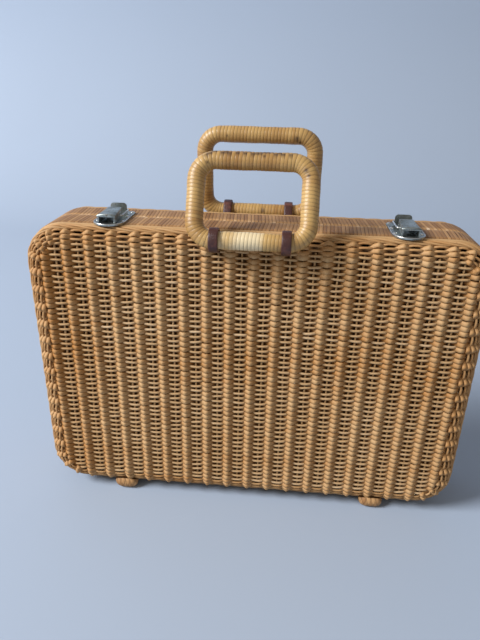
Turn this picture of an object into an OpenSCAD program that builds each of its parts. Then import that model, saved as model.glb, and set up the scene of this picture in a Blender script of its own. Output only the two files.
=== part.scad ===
// Wicker suitcase: two woven half shells with cane-bound rims, hinged along the bottom seam,
// with two rattan carrying handles, two over-centre draw latches and four cane feet.
// Frame: X across the width, Y through the depth (front half at -Y), Z up, feet on Z = 0.

/* [Case] */
// Width of the woven body over its ribs
case_w = 410; // [340:1:460]
// Height of the woven body over its ribs, feet left out
case_h = 276; // [220:1:320]
// Depth of both halves together over their ribs
case_d = 90; // [80:1:120]
// Corner radius seen from the front, over the ribs
corner_r = 36; // [30:1:50]
// Rounding from the front face to the side walls, over the ribs
edge_r = 14; // [12:0.5:18]
// Thickness of the woven wall under the ribs
wall_t = 4; // [3:0.5:5]
// Gap between the two rims when the case is shut
seam_gap = 0.5; // [0.4:0.1:1]

/* [Weave] */
// Spacing of the ribs
rib_pitch = 20.6; // [18:0.1:26]
// Spacing of the ribs on the two sides
side_pitch = 17; // [15:0.5:26]
// Height of a rib above the woven wall
rib_h = 2; // [1:0.1:2.5]
// Width of an open gap in the weave
gap_w = 3.2; // [2:0.1:6]
// Length of an open gap in the weave
gap_l = 24; // [10:1:28]
// Open gaps in each column between two ribs
gap_rows = 6; // [3:1:6]

/* [Rim] */
// Width of the cane-bound band of each half, across the seam
rim_w = 27.5; // [26:0.5:28]
// Thickness of the band
rim_t = 7; // [6:0.5:8]
// How far the band stands proud of the ribs
rim_proud = 0.2; // [0.1:0.1:1]

/* [Handles] */
// Outer width of the front handle
handle_w = 110; // [104:1:124]
// Outer height of the front handle
handle_h = 81.5; // [70:0.5:92]
// How much wider the rear handle is than the front one
rear_wider = 9; // [0:0.5:12]
// How much taller the rear handle is than the front one
rear_taller = 7.5; // [0:0.5:10]
// Diameter of the wrapped handle bar
bar_d = 15.5; // [12:0.5:17]
// Corner radius on the middle line of a handle
handle_r = 16; // [14:0.5:20]
// Distance of the handles' middle from the case's middle
handle_shift = -3; // [-8:0.5:8]
// Height of the lower bar's axis below the top of the ribs
bar_drop = 3; // [1:0.5:6]
// Play between the lower bar and the ribs behind it
bar_play = 0.75; // [0.4:0.05:2]
// Lean of the front handle towards the seam
front_lean = 25; // [5:1:30]
// Lean of the rear handle towards the seam
rear_lean = 6; // [2:1:30]

/* [Straps] */
// How far a strap reaches past the straight run of the lower bar
strap_over = 2.5; // [-4:0.5:3]
// Width of a leather strap
strap_w = 8; // [5:0.5:9]
// Thickness of a leather strap
strap_t = 2; // [1.5:0.1:2.5]
// Play between a strap and the handle bar
strap_play = 0.6; // [0.5:0.05:1]
// Play between a strap and the slots it passes through
slot_play = 0.3; // [0.2:0.05:0.6]

/* [Feet] */
// Distance of a foot's middle from the side of the case
foot_side = 77; // [60:1:100]
// Distance of a foot's middle from the front of the ribs
foot_set = 9; // [8:0.5:14]
// Length of a foot
foot_l = 24; // [20:1:30]
// Thickness of the roll of a foot
foot_d = 16; // [14:0.5:20]
// Height of the body above the floor
foot_h = 7; // [6:0.5:12]
// How much of the roll is worn flat underneath
foot_flat = 1; // [0.5:0.1:2]

/* [Latches] */
// Distance of a latch's middle from the side of the case
latch_side = 76; // [60:1:105]
// Width of a latch's plates
plate_w = 28; // [27:0.5:32]
// Length of the base plate in front of the seam
base_l = 38.5; // [37:0.5:40]
// Length of the keeper plate behind the seam
keeper_l = 14; // [13:0.5:18]
// Thickness of the latch and hinge sheet
sheet_t = 1.2; // [0.8:0.1:1.5]
// Width of the lever at its lip
lever_w = 15; // [14:0.5:16]
// Width of the lever at its pivot
lever_tail_w = 12; // [11:0.5:13]
// Length of the lever from its pivot to its lip
lever_l = 26; // [24:0.5:27]
// Height of the lever's top at its lip, above the base plate
lever_lip_h = 6.8; // [6:0.1:8]
// Height of the lever's top at its pivot, above the base plate
lever_tail_h = 8.3; // [7.5:0.1:9]
// Sheet thickness of the lever
lever_t = 1; // [0.8:0.1:1.2]
// Gap between the lever's cheeks and the base plate
lever_lift = 0.4; // [0.3:0.1:0.8]
// Distance of the lever's pivot in front of the seam
pivot_set = 8; // [7:0.5:10]
// Height of the lever's pivot above the base plate
pivot_rise = 3; // [2.8:0.1:3.4]
// Diameter of the lever's pivot pin
pivot_d = 2; // [1.6:0.1:2.2]
// Distance from the lever's pivot to the loop's pivot
loop_arm = 9; // [8:0.5:11]
// Wire diameter of the draw loop
wire_d = 1.6; // [1.2:0.1:1.8]
// Height of the keeper's hook above its plate
hook_h = 9.8; // [8:0.1:12]
// Width of the keeper's hook
hook_w = 15; // [13:0.5:15]
// Distance of the hook behind the seam
hook_set = 3.6; // [3:0.1:5]
// Corner radius of the hook
hook_r = 3; // [2:0.5:4]
// Corner radius of the keeper plate
keeper_r = 6; // [4:0.5:7]
// Distance of the plates from the seam
plate_set = 0.75; // [0.5:0.05:1.5]

/* [Hinges] */
// Distance of a hinge's middle from the side of the case
hinge_side = 127; // [115:1:150]
// Length of a hinge along the seam
leaf_w = 30; // [24:1:36]
// Width of one leaf
leaf_l = 19; // [17:0.5:22]
// Outer diameter of the knuckles
barrel_d = 5; // [4.5:0.1:5.6]
// Diameter of the hinge pin
pin_d = 2.4; // [2:0.1:2.8]
// Gap between neighbouring knuckles
knuckle_gap = 0.3; // [0.2:0.05:0.5]

/* [Rivets] */
// Shank diameter of a rivet
rivet_d = 2.4; // [2:0.1:2.6]
// Head diameter of a rivet
rivet_head_d = 4; // [3.6:0.1:4.4]
// Head height of a rivet
rivet_head_h = 1; // [0.6:0.1:1.2]
// Length of shank in the rim
rivet_grip = 4; // [3:0.5:5]
// Distance of a rivet's middle from the edge of its sheet
rivet_edge = 4; // [3:0.1:5]
// Running clearance of pins and rivets on the radius
fit = 0.05; // [0.02:0.01:0.08]

/* [Hidden] */
$fn = 72;

wicker = [0.72, 0.50, 0.28];
cane = [0.74, 0.53, 0.32];
rattan = [0.85, 0.64, 0.33];
leather = [0.23, 0.11, 0.09];
steel = [0.45, 0.47, 0.47];
bright = [0.66, 0.67, 0.66];

// Small allowances shared by several pieces
seat = 0.05;
run = 0.3;

// The woven wall without its ribs, and the spine that the rounded edge turns about
base_w = case_w - 2 * rib_h;
base_h = case_h - 2 * rib_h;
base_edge_r = edge_r - rib_h;
base_corner_r = corner_r - rib_h;
half_d = case_d / 2;
face = half_d - rib_h;
spine = face - base_edge_r;
spine_w = base_w - 2 * base_edge_r;
spine_h = base_h - 2 * base_edge_r;
spine_r = base_corner_r - base_edge_r;
rim_face = seam_gap / 2;
mid_z = foot_h + case_h / 2;
top_z = foot_h + case_h + rim_proud;
bottom_z = foot_h - rim_proud;

// Ribs: as many as fit between the corners, on the faces and over the four edges
rib_r = (wall_t + rib_h) / 2 - 0.25;
face_ribs = floor((spine_w / 2 - rib_r) / rib_pitch);
edge_ribs = floor((spine_w / 2 - spine_r) / rib_pitch);
side_ribs = floor((spine_h / 2 - spine_r) / side_pitch);
corner_ribs = [14, 41, 68];
corner_start = 12;
rib_axis = base_edge_r + rib_h - rib_r;
wall_start = rim_face + rim_w;

// The handle's lower bar and the strap that holds it
bar_r = bar_d / 2;
bar_out = half_d + bar_r + bar_play;
bar_z = foot_h + case_h - bar_drop;
strap_span = handle_w - bar_d - 2 * handle_r - strap_w + 2 * strap_over;
strap_in_r = bar_r + strap_play;
strap_tail_r = 1.5;
strap_tail_out = face - wall_t - strap_tail_r - strap_t - slot_play;
strap_tail_drop = 2;
strap_tail_z = mid_z + spine_h / 2 - strap_tail_drop;

// Latch: heights above the rim, distances in front of the seam
latch_x = case_w / 2 - latch_side;
hinge_x = case_w / 2 - hinge_side;
foot_x = case_w / 2 - foot_side;
pivot_h = sheet_t + pivot_rise;
loop_h = pivot_h + run;
loop_y = -pivot_set - loop_arm;
bar_y = hook_set + sheet_t + wire_d / 2 + run;
arm_x = max(hook_w, lever_w) / 2 + wire_d / 2 + run;
ear_t = sheet_t;
ear_x = lever_tail_w / 2 - lever_t - run - ear_t;
ear_r = pivot_h - sheet_t - run;
side_rivet_x = plate_w / 2 - 0.75 * rivet_edge;
base_rivets = [
    [side_rivet_x, -1.5 * rivet_edge], [-side_rivet_x, -1.5 * rivet_edge],
    [side_rivet_x, rivet_edge - rim_w], [-side_rivet_x, rivet_edge - rim_w],
    [0, rivet_edge / 2 - rim_w]
];
keeper_rivets = [[side_rivet_x, keeper_l - rivet_edge], [-side_rivet_x, keeper_l - rivet_edge]];

// Hinge: the axis lies under the seam, clear of both rims
axis_drop = barrel_d / 2 + run;
axis_z = bottom_z - axis_drop;
knuckle = leaf_w / 3;
leaf_edge = barrel_d / 2 + run;
leaf_rivets = [
    [leaf_w / 2 - rivet_edge, leaf_l - rivet_edge], [rivet_edge - leaf_w / 2, leaf_l - rivet_edge],
    [0, leaf_l - 2 * rivet_edge]
];

// Outline helpers, drawn flat
module rounded_rect(w, h, r) {
    square([w - 2 * r, h], center = true);
    square([w, h - 2 * r], center = true);
    for (x = [-1, 1], y = [-1, 1])
        translate([x * (w / 2 - r), y * (h / 2 - r)]) circle(r);
}

// A half is drawn lying on its seam: X across, Y up the case, Z outwards from the seam
module stand_front() { translate([0, 0, mid_z]) rotate([90, 0, 0]) children(); }
module stand_rear() { mirror([0, 1, 0]) stand_front() children(); }

// Lays a flat drawing (up the case, outwards) across X
module across_x(w) { rotate([90, 0, 90]) linear_extrude(w, center = true) children(); }

// Carries a flat section (outwards, away from the seam) round the rounded spine rectangle
module around_spine() {
    for (a = [0, 180]) rotate([0, 0, a]) {
        translate([spine_w / 2, 0, 0]) rotate([90, 0, 0])
            linear_extrude(spine_h - 2 * spine_r, center = true) children();
        rotate([0, 0, 90]) translate([spine_h / 2, 0, 0]) rotate([90, 0, 0])
            linear_extrude(spine_w - 2 * spine_r, center = true) children();
        translate([spine_w / 2 - spine_r, spine_h / 2 - spine_r, 0])
            rotate_extrude(angle = 90) translate([spine_r, 0]) children();
        translate([spine_r - spine_w / 2, spine_h / 2 - spine_r, 0]) rotate([0, 0, 90])
            rotate_extrude(angle = 90) translate([spine_r, 0]) children();
    }
}

// Body of a strap: two round ends joined by straight runs, a hair inside the tangents
module strap_body(grow, w) {
    a = [bar_z - mid_z, bar_out];
    b = [strap_tail_z - mid_z, strap_tail_out];
    ra = strap_in_r + grow;
    rb = strap_tail_r + grow;
    d = b - a;
    t = atan2(d[1], d[0]);
    p = acos((ra - rb) / norm(d));
    hair = 0.03;
    function spot(c, r, g) = [c[0] + (r - hair) * cos(g), c[1] + (r - hair) * sin(g)];
    translate([0, a[0], a[1]]) rotate([0, 90, 0]) cylinder(r = ra, h = w, center = true);
    translate([0, b[0], b[1]]) rotate([0, 90, 0]) cylinder(r = rb, h = w, center = true);
    across_x(w)
        polygon([spot(a, ra, t + p), spot(b, rb, t + p), spot(b, rb, t - p), spot(a, ra, t - p)]);
}

// Closed leather strap round the bar and through the wall, or the room it needs
module strap_band(play) {
    difference() {
        strap_body(strap_t + play, strap_w + 2 * play);
        strap_body(-play, 2 * strap_w);
    }
}

module strap_slots() {
    for (s = [-1, 1])
        translate([handle_shift + s * strap_span / 2, 0, 0]) strap_band(slot_play);
}

// Woven face: a flat mat with upright ribs and open gaps between them
module panel() {
    gap_step = (spine_h - 2 * spine_r + gap_l / 2) / gap_rows;
    difference() {
        union() {
            translate([0, 0, face - wall_t])
                linear_extrude(wall_t) rounded_rect(spine_w, spine_h, spine_r);
            intersection() {
                for (k = [-face_ribs : face_ribs])
                    translate([k * rib_pitch, 0, face + rib_h - rib_r]) rotate([90, 0, 0])
                        cylinder(r = rib_r, h = spine_h + 2, center = true);
                translate([0, 0, face - wall_t / 2])
                    linear_extrude(wall_t + rib_h) rounded_rect(spine_w, spine_h, spine_r);
            }
        }
        for (k = [-face_ribs : face_ribs - 1], i = [0 : gap_rows - 1])
            translate([(k + 0.5) * rib_pitch, (i + 0.5 - gap_rows / 2) * gap_step, face])
                cube([gap_w, gap_l, 4 * wall_t], center = true);
        strap_slots();
    }
}

// Section of the woven edge: a quarter turn from the face to the short side wall
module border_section() {
    translate([0, spine]) intersection() {
        difference() {
            circle(base_edge_r);
            circle(base_edge_r - wall_t);
        }
        square(base_edge_r + 1);
    }
    translate([base_edge_r - wall_t, wall_start]) square([wall_t, spine - wall_start]);
}

// One rib carried over the edge, turning outwards along X from a start angle off the face
module edge_rib(start) {
    translate([0, 0, spine]) rotate([90, 0, 0])
        rotate_extrude(angle = 90 - start) translate([rib_axis, 0]) circle(rib_r);
    translate([rib_axis, 0, wall_start]) cylinder(r = rib_r, h = spine - wall_start);
}

// Woven edge all round the face, with the ribs carried over it
module border() {
    difference() {
        union() {
            around_spine() border_section();
            for (a = [0, 180]) rotate([0, 0, a]) {
                for (k = [-side_ribs : side_ribs - 1])
                    translate([spine_w / 2, (k + 0.5) * side_pitch, 0]) edge_rib(0);
                for (k = [-edge_ribs : edge_ribs])
                    translate([k * rib_pitch, spine_h / 2, 0]) rotate([0, 0, 90]) edge_rib(0);
                for (s = [0, 90], t = corner_ribs)
                    translate([(s == 0 ? 1 : -1) * (spine_w / 2 - spine_r), spine_h / 2 - spine_r, 0])
                        rotate([0, 0, s == 0 ? t : 180 - t]) translate([spine_r, 0, 0])
                            edge_rib(corner_start);
            }
        }
        strap_slots();
    }
}

// Cane-bound hoop, with holes for the rivets on top and underneath
module rim(top_rivets, way) {
    w = case_w + 2 * rim_proud;
    h = case_h + 2 * rim_proud;
    r = corner_r + rim_proud;
    difference() {
        translate([0, 0, rim_face]) linear_extrude(rim_w) difference() {
            rounded_rect(w, h, r);
            rounded_rect(w - 2 * rim_t, h - 2 * rim_t, r - rim_t);
        }
        for (s = [-1, 1], p = top_rivets)
            translate([s * latch_x + p[0], h / 2 - rivet_grip - 0.2, way * p[1]]) rivet_hole();
        for (s = [-1, 1], p = leaf_rivets)
            translate([s * hinge_x + p[0], -h / 2 - 1, p[1]]) rivet_hole();
    }
}

module rivet_hole() {
    rotate([-90, 0, 0]) cylinder(d = rivet_d + 2 * fit, h = rivet_grip + 1.2);
}

// Closed handle loop, its lower bar on the X axis and the loop standing up
module handle(outer_w, outer_h) {
    w = outer_w - bar_d;
    h = outer_h - bar_d;
    for (z = [0, h]) translate([0, 0, z]) rotate([0, 90, 0])
        cylinder(r = bar_r, h = w - 2 * handle_r, center = true);
    for (x = [-1, 1]) translate([x * w / 2, 0, handle_r])
        cylinder(r = bar_r, h = h - 2 * handle_r);
    rotate([90, 0, 0]) for (a = [0 : 3])
        translate([(a == 0 || a == 3 ? 1 : -1) * (w / 2 - handle_r), a < 2 ? h - handle_r : handle_r, 0])
            rotate([0, 0, 90 * a]) rotate_extrude(angle = 90) translate([handle_r, 0]) circle(bar_r);
}

// Rolled cane foot: a bean worn flat underneath, hollowed on top to seat on the ribs
module foot() {
    r = foot_d / 2;
    y = half_d - foot_set;
    difference() {
        translate([0, -y, r - foot_flat]) union() {
            rotate([0, 90, 0]) cylinder(r = r, h = foot_l - foot_d, center = true);
            for (s = [-1, 1]) translate([s * (foot_l - foot_d) / 2, 0, 0]) sphere(r);
        }
        translate([0, -half_d, -foot_d]) cube([3 * foot_l, 2 * case_d, 2 * foot_d], center = true);
        translate([0, -spine, foot_h + edge_r]) rotate([0, 90, 0])
            cylinder(r = edge_r + seat, h = 2 * foot_l, center = true);
        translate([-foot_l, -spine, foot_h - seat]) cube([2 * foot_l, half_d, foot_d]);
    }
}

// Domed rivet, its head standing on the origin and its shank going down
module rivet() {
    r = (rivet_head_d * rivet_head_d / 4 + rivet_head_h * rivet_head_h) / (2 * rivet_head_h);
    intersection() {
        translate([0, 0, rivet_head_h - r]) sphere(r);
        cylinder(d = rivet_head_d + 2, h = rivet_head_h + 1);
    }
    translate([0, 0, -sheet_t - rivet_grip]) cylinder(d = rivet_d, h = sheet_t + rivet_grip + 0.2);
}

module sheet_hole() { cylinder(d = rivet_d + 2 * fit, h = 6 * sheet_t, center = true); }

// Latch pieces stand on the rim: X along the seam, Y across it, Z up
module latch_base() {
    difference() {
        union() {
            linear_extrude(sheet_t) union() {
                translate([0, plate_w / 2 - base_l]) circle(plate_w / 2);
                translate([-plate_w / 2, plate_w / 2 - base_l])
                    square([plate_w, base_l - plate_w / 2 - plate_set]);
            }
            for (s = [-1, 1]) translate([s * (ear_x + ear_t / 2), -pivot_set, 0]) across_x(ear_t) union() {
                translate([0, pivot_h]) circle(ear_r);
                translate([run - ear_r, sheet_t / 2]) square([2 * (ear_r - run), pivot_h - sheet_t / 2]);
            }
        }
        for (p = base_rivets) translate([p[0], p[1], 0]) sheet_hole();
        translate([0, -pivot_set, pivot_h]) rotate([0, 90, 0])
            cylinder(d = pivot_d + 2 * fit, h = plate_w, center = true);
    }
}

module latch_rivets() { for (p = base_rivets) translate([p[0], p[1], sheet_t]) rivet(); }

module latch_pin() {
    translate([0, -pivot_set, pivot_h]) rotate([0, 90, 0])
        cylinder(d = pivot_d, h = lever_tail_w + 1, center = true);
}

// Side view of the lever, and of its hollow
module lever_side(t) {
    front = -pivot_set - lever_l;
    polygon([
        [front - 3 * t, sheet_t + lever_lift - 3 * t], [front - 3 * t, sheet_t + lever_lip_h - t],
        [front, sheet_t + lever_lip_h - t], [-pivot_set + 6 * t, sheet_t + lever_tail_h - t],
        [-pivot_set + 6 * t, sheet_t + lever_lift - 3 * t]
    ]);
}

// View of the lever from above, narrowing to its pivot
module lever_plan(t) {
    front = -pivot_set - lever_l;
    tail = -pivot_set + ear_r;
    polygon([
        [-lever_w / 2 + t, front - 3 * t], [lever_w / 2 - t, front - 3 * t],
        [lever_tail_w / 2 - t, tail + 3 * t], [t - lever_tail_w / 2, tail + 3 * t]
    ]);
}

// Hollow lever, open at the front, with a turned-out lip and a hole for pin and loop
module latch_lever() {
    difference() {
        union() {
            intersection() {
                linear_extrude(2 * lever_tail_h) lever_plan(0);
                across_x(2 * lever_w) union() {
                    lever_side(0);
                    translate([-pivot_set, pivot_h]) circle(ear_r - lever_lift / 2);
                }
            }
            translate([0, -pivot_set - lever_l, sheet_t + lever_lip_h - lever_t / 2])
                cube([lever_w + 1.4, 1.6, lever_t], center = true);
        }
        intersection() {
            translate([0, 0, -1]) linear_extrude(2 * lever_tail_h) lever_plan(lever_t);
            across_x(2 * lever_w) lever_side(lever_t);
        }
        translate([0, -pivot_set, pivot_h]) rotate([0, 90, 0])
            cylinder(d = pivot_d + 2 * fit, h = 2 * lever_w, center = true);
        translate([0, loop_y, loop_h]) rotate([0, 90, 0])
            cylinder(d = wire_d + 2 * fit, h = 2 * lever_w, center = true);
    }
}

// Draw loop bent from wire: its turned-in ends sit in the lever, its bar behind the hook
module latch_loop() {
    r = wire_d / 2;
    bend = wire_d;
    for (s = [0, 1]) mirror([s, 0, 0]) translate([0, 0, loop_h]) {
        translate([0, bar_y, 0]) rotate([0, 90, 0]) cylinder(r = r, h = arm_x - bend);
        translate([arm_x - bend, bar_y - bend, 0]) rotate_extrude(angle = 90) translate([bend, 0]) circle(r);
        translate([arm_x, loop_y + bend, 0]) rotate([-90, 0, 0])
            cylinder(r = r, h = bar_y - loop_y - 2 * bend);
        translate([arm_x - bend, loop_y + bend, 0]) rotate([0, 0, -90])
            rotate_extrude(angle = 90) translate([bend, 0]) circle(r);
        translate([lever_tail_w / 2 - lever_t - run, loop_y, 0]) rotate([0, 90, 0])
            cylinder(r = r, h = arm_x - bend - lever_tail_w / 2 + lever_t + run);
    }
}

// Keeper plate behind the seam with its upright hook
module latch_keeper() {
    corner = keeper_r;
    difference() {
        linear_extrude(sheet_t) union() {
            translate([-plate_w / 2, plate_set]) square([plate_w, keeper_l - plate_set - corner]);
            translate([corner - plate_w / 2, plate_set]) square([plate_w - 2 * corner, keeper_l - plate_set]);
            for (s = [-1, 1]) translate([s * (plate_w / 2 - corner), keeper_l - corner]) circle(corner);
        }
        for (p = keeper_rivets) translate([p[0], p[1], 0]) sheet_hole();
    }
    translate([0, hook_set + sheet_t, 0]) rotate([90, 0, 0]) linear_extrude(sheet_t) union() {
        translate([-hook_w / 2, sheet_t / 2]) square([hook_w, sheet_t / 2 + hook_h - hook_r]);
        translate([hook_r - hook_w / 2, sheet_t / 2]) square([hook_w - 2 * hook_r, sheet_t / 2 + hook_h]);
        for (s = [-1, 1]) translate([s * (hook_w / 2 - hook_r), sheet_t + hook_h - hook_r]) circle(hook_r);
    }
}

module keeper_rivet_set() { for (p = keeper_rivets) translate([p[0], p[1], sheet_t]) rivet(); }

// Hinge pieces hang under the rim: X along the axis, Y away from the seam, Z up to the rim
module hinge_leaf(own, other) {
    difference() {
        union() {
            translate([-leaf_w / 2, rim_face + 0.2, -sheet_t])
                cube([leaf_w, leaf_l - rim_face - 0.2, sheet_t]);
            for (k = own) translate([k * knuckle, 0, -axis_drop]) rotate([0, 90, 0])
                cylinder(d = barrel_d, h = knuckle - knuckle_gap, center = true);
        }
        for (k = other) translate([k * knuckle, 0, -axis_drop]) rotate([0, 90, 0])
            cylinder(d = barrel_d + 2 * run, h = knuckle + knuckle_gap, center = true);
        translate([0, 0, -axis_drop]) rotate([0, 90, 0])
            cylinder(d = pin_d + 2 * fit, h = 2 * leaf_w, center = true);
        for (p = leaf_rivets) translate([p[0], p[1], 0]) sheet_hole();
    }
}

module hinge_pin() {
    translate([0, 0, -axis_drop]) rotate([0, 90, 0]) cylinder(d = pin_d, h = leaf_w + 1, center = true);
}

module hinge_rivets() {
    for (p = leaf_rivets) translate([p[0], p[1], -sheet_t]) mirror([0, 0, 1]) rivet();
}

module at_latch(s) { translate([s * latch_x, 0, top_z]) children(); }
module at_hinge(s) { translate([s * hinge_x, 0, bottom_z]) children(); }

// The named pieces
module front_panel() { color(wicker) stand_front() panel(); }
module front_border() { color(wicker) stand_front() border(); }
module front_rim() { color(cane) stand_front() rim(base_rivets, -1); }
module rear_panel() { color(wicker) stand_rear() panel(); }
module rear_border() { color(wicker) stand_rear() border(); }
module rear_rim() { color(cane) stand_rear() rim(keeper_rivets, 1); }
module front_handle() {
    color(rattan) translate([handle_shift, -bar_out, bar_z]) rotate([-front_lean, 0, 0])
        handle(handle_w, handle_h);
}
module rear_handle() {
    color(rattan) translate([handle_shift, bar_out, bar_z]) rotate([rear_lean, 0, 0])
        handle(handle_w + rear_wider, handle_h + rear_taller);
}
module hung_strap(s) { translate([handle_shift + s * strap_span / 2, 0, 0]) strap_band(0); }
module front_left_strap() { color(leather) stand_front() hung_strap(-1); }
module front_right_strap() { color(leather) stand_front() hung_strap(1); }
module rear_left_strap() { color(leather) stand_rear() hung_strap(-1); }
module rear_right_strap() { color(leather) stand_rear() hung_strap(1); }
module front_left_foot() { color(cane) translate([-foot_x, 0, 0]) foot(); }
module front_right_foot() { color(cane) translate([foot_x, 0, 0]) foot(); }
module rear_left_foot() { color(cane) mirror([0, 1, 0]) translate([-foot_x, 0, 0]) foot(); }
module rear_right_foot() { color(cane) mirror([0, 1, 0]) translate([foot_x, 0, 0]) foot(); }
module left_latch_base() { color(steel) at_latch(-1) latch_base(); }
module left_latch_rivets() { color(bright) at_latch(-1) latch_rivets(); }
module left_latch_pin() { color(bright) at_latch(-1) latch_pin(); }
module left_latch_lever() { color(steel) at_latch(-1) latch_lever(); }
module left_latch_loop() { color(bright) at_latch(-1) latch_loop(); }
module left_latch_keeper() { color(steel) at_latch(-1) latch_keeper(); }
module left_keeper_rivets() { color(bright) at_latch(-1) keeper_rivet_set(); }
module right_latch_base() { color(steel) at_latch(1) latch_base(); }
module right_latch_rivets() { color(bright) at_latch(1) latch_rivets(); }
module right_latch_pin() { color(bright) at_latch(1) latch_pin(); }
module right_latch_lever() { color(steel) at_latch(1) latch_lever(); }
module right_latch_loop() { color(bright) at_latch(1) latch_loop(); }
module right_latch_keeper() { color(steel) at_latch(1) latch_keeper(); }
module right_keeper_rivets() { color(bright) at_latch(1) keeper_rivet_set(); }
module left_hinge_front_leaf() { color(steel) at_hinge(-1) mirror([0, 1, 0]) hinge_leaf([0], [-1, 1]); }
module left_hinge_front_rivets() { color(bright) at_hinge(-1) mirror([0, 1, 0]) hinge_rivets(); }
module left_hinge_rear_leaf() { color(steel) at_hinge(-1) hinge_leaf([-1, 1], [0]); }
module left_hinge_rear_rivets() { color(bright) at_hinge(-1) hinge_rivets(); }
module left_hinge_pin() { color(bright) at_hinge(-1) hinge_pin(); }
module right_hinge_front_leaf() { color(steel) at_hinge(1) mirror([0, 1, 0]) hinge_leaf([0], [-1, 1]); }
module right_hinge_front_rivets() { color(bright) at_hinge(1) mirror([0, 1, 0]) hinge_rivets(); }
module right_hinge_rear_leaf() { color(steel) at_hinge(1) hinge_leaf([-1, 1], [0]); }
module right_hinge_rear_rivets() { color(bright) at_hinge(1) hinge_rivets(); }
module right_hinge_pin() { color(bright) at_hinge(1) hinge_pin(); }

front_panel();
front_border();
front_rim();
rear_panel();
rear_border();
rear_rim();
front_handle();
rear_handle();
front_left_strap();
front_right_strap();
rear_left_strap();
rear_right_strap();
front_left_foot();
front_right_foot();
rear_left_foot();
rear_right_foot();
left_latch_base();
left_latch_rivets();
left_latch_pin();
left_latch_lever();
left_latch_loop();
left_latch_keeper();
left_keeper_rivets();
right_latch_base();
right_latch_rivets();
right_latch_pin();
right_latch_lever();
right_latch_loop();
right_latch_keeper();
right_keeper_rivets();
left_hinge_front_leaf();
left_hinge_front_rivets();
left_hinge_rear_leaf();
left_hinge_rear_rivets();
left_hinge_pin();
right_hinge_front_leaf();
right_hinge_front_rivets();
right_hinge_rear_leaf();
right_hinge_rear_rivets();
right_hinge_pin();
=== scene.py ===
import math

import bpy
import numpy as np
from mathutils import Matrix, Vector


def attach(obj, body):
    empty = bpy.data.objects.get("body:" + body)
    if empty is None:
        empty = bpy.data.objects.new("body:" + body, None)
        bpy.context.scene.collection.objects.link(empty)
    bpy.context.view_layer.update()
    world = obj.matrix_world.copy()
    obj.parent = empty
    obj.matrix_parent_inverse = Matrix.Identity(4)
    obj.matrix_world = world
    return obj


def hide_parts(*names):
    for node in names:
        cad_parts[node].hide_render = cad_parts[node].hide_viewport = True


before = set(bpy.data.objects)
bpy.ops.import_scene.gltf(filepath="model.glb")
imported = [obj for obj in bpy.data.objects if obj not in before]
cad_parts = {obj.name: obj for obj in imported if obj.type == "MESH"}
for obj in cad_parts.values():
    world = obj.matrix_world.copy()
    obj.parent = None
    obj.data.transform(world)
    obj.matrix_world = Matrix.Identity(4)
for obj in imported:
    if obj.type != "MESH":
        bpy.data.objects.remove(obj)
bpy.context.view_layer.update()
rng = np.random.default_rng(11)

# Sizes shared by the pieces, in millimetres, the same as in the solids
case = {
    "midHeight": 145.0,
    "spineHalfWidth": 191.0,
    "spineHalfHeight": 124.0,
    "spineRadius": 22.0,
    "spineOut": 31.0,
    "lineOut": 12.0,
    "ribPitch": 20.6,
    "sidePitch": 17.0,
    "topRibs": (-8, 9),
    "sideRibs": (-6, 6),
    "cornerRibs": [22.0, 49.0, 76.0],
}
mm = 0.001  # one millimetre in metres
upward = np.array([0.0, 0.0, 1.0])
across = np.array([1.0, 0.0, 0.0])
halves = {-1: "front", 1: "rear"}  # by the sign of Y
hands = {"left": -1, "right": 1}  # sign of X


# Joins surface patches that share one list of vertices: verts, quads, uv and the named point values
class Bag:
    def __init__(self):
        self.verts = []
        self.quads = []
        self.uvs = []
        self.values = {"tone": [], "deep": [], "mark": []}
        self.count = 0

    def add(self, verts, quads, uv, tone=0.5, deep=0.0, mark=0.0):
        n = len(verts)
        self.verts.append(verts)
        self.quads.append(quads + self.count)
        self.uvs.append(uv)
        for key, value in (("tone", tone), ("deep", deep), ("mark", mark)):
            self.values[key].append(np.broadcast_to(np.asarray(value, float).reshape(-1), (n,)))
        self.count += n


# Indices of a grid of rows x columns as quads, the columns or rows joined up where asked; with a twist the
# last column meets the first that many rows back
def gridQuads(rows, cols, closeRows, closeCols, twist=0):
    i = np.arange(rows if closeRows else rows - 1)
    j = np.arange(cols if closeCols else cols - 1)
    i, j = np.meshgrid(i, j, indexing="ij")
    i2 = (i + 1) % rows
    j2 = (j + 1) % cols
    back = np.where(j2 == 0, twist, 0)
    near = (i - back) % rows * cols + j2
    far = (i2 - back) % rows * cols + j2
    return np.stack([i * cols + j, near, far, i2 * cols + j], axis=-1).reshape(-1, 4)


# Lids of a grid whose columns are joined up: the first and the last row each closed by a fan of quads
def lidQuads(rows, cols):
    k = np.arange(1, cols // 2)
    fan = np.stack([0 * k, 2 * k - 1, 2 * k, 2 * k + 1], axis=1)
    return np.concatenate([fan[:, ::-1], fan + (rows - 1) * cols])


# Unit vectors: each vector over its own length
def unit(v):
    return v / np.maximum(np.linalg.norm(v, axis=-1, keepdims=True), 1e-9)


# Direction along a path: difference of the neighbours on both sides, joined up for a closed path
def tangents(path, closed):
    if closed:
        d = np.roll(path, -1, axis=-2) - np.roll(path, 1, axis=-2)
    else:
        d = np.gradient(path, axis=-2)
    return unit(d)


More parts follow.
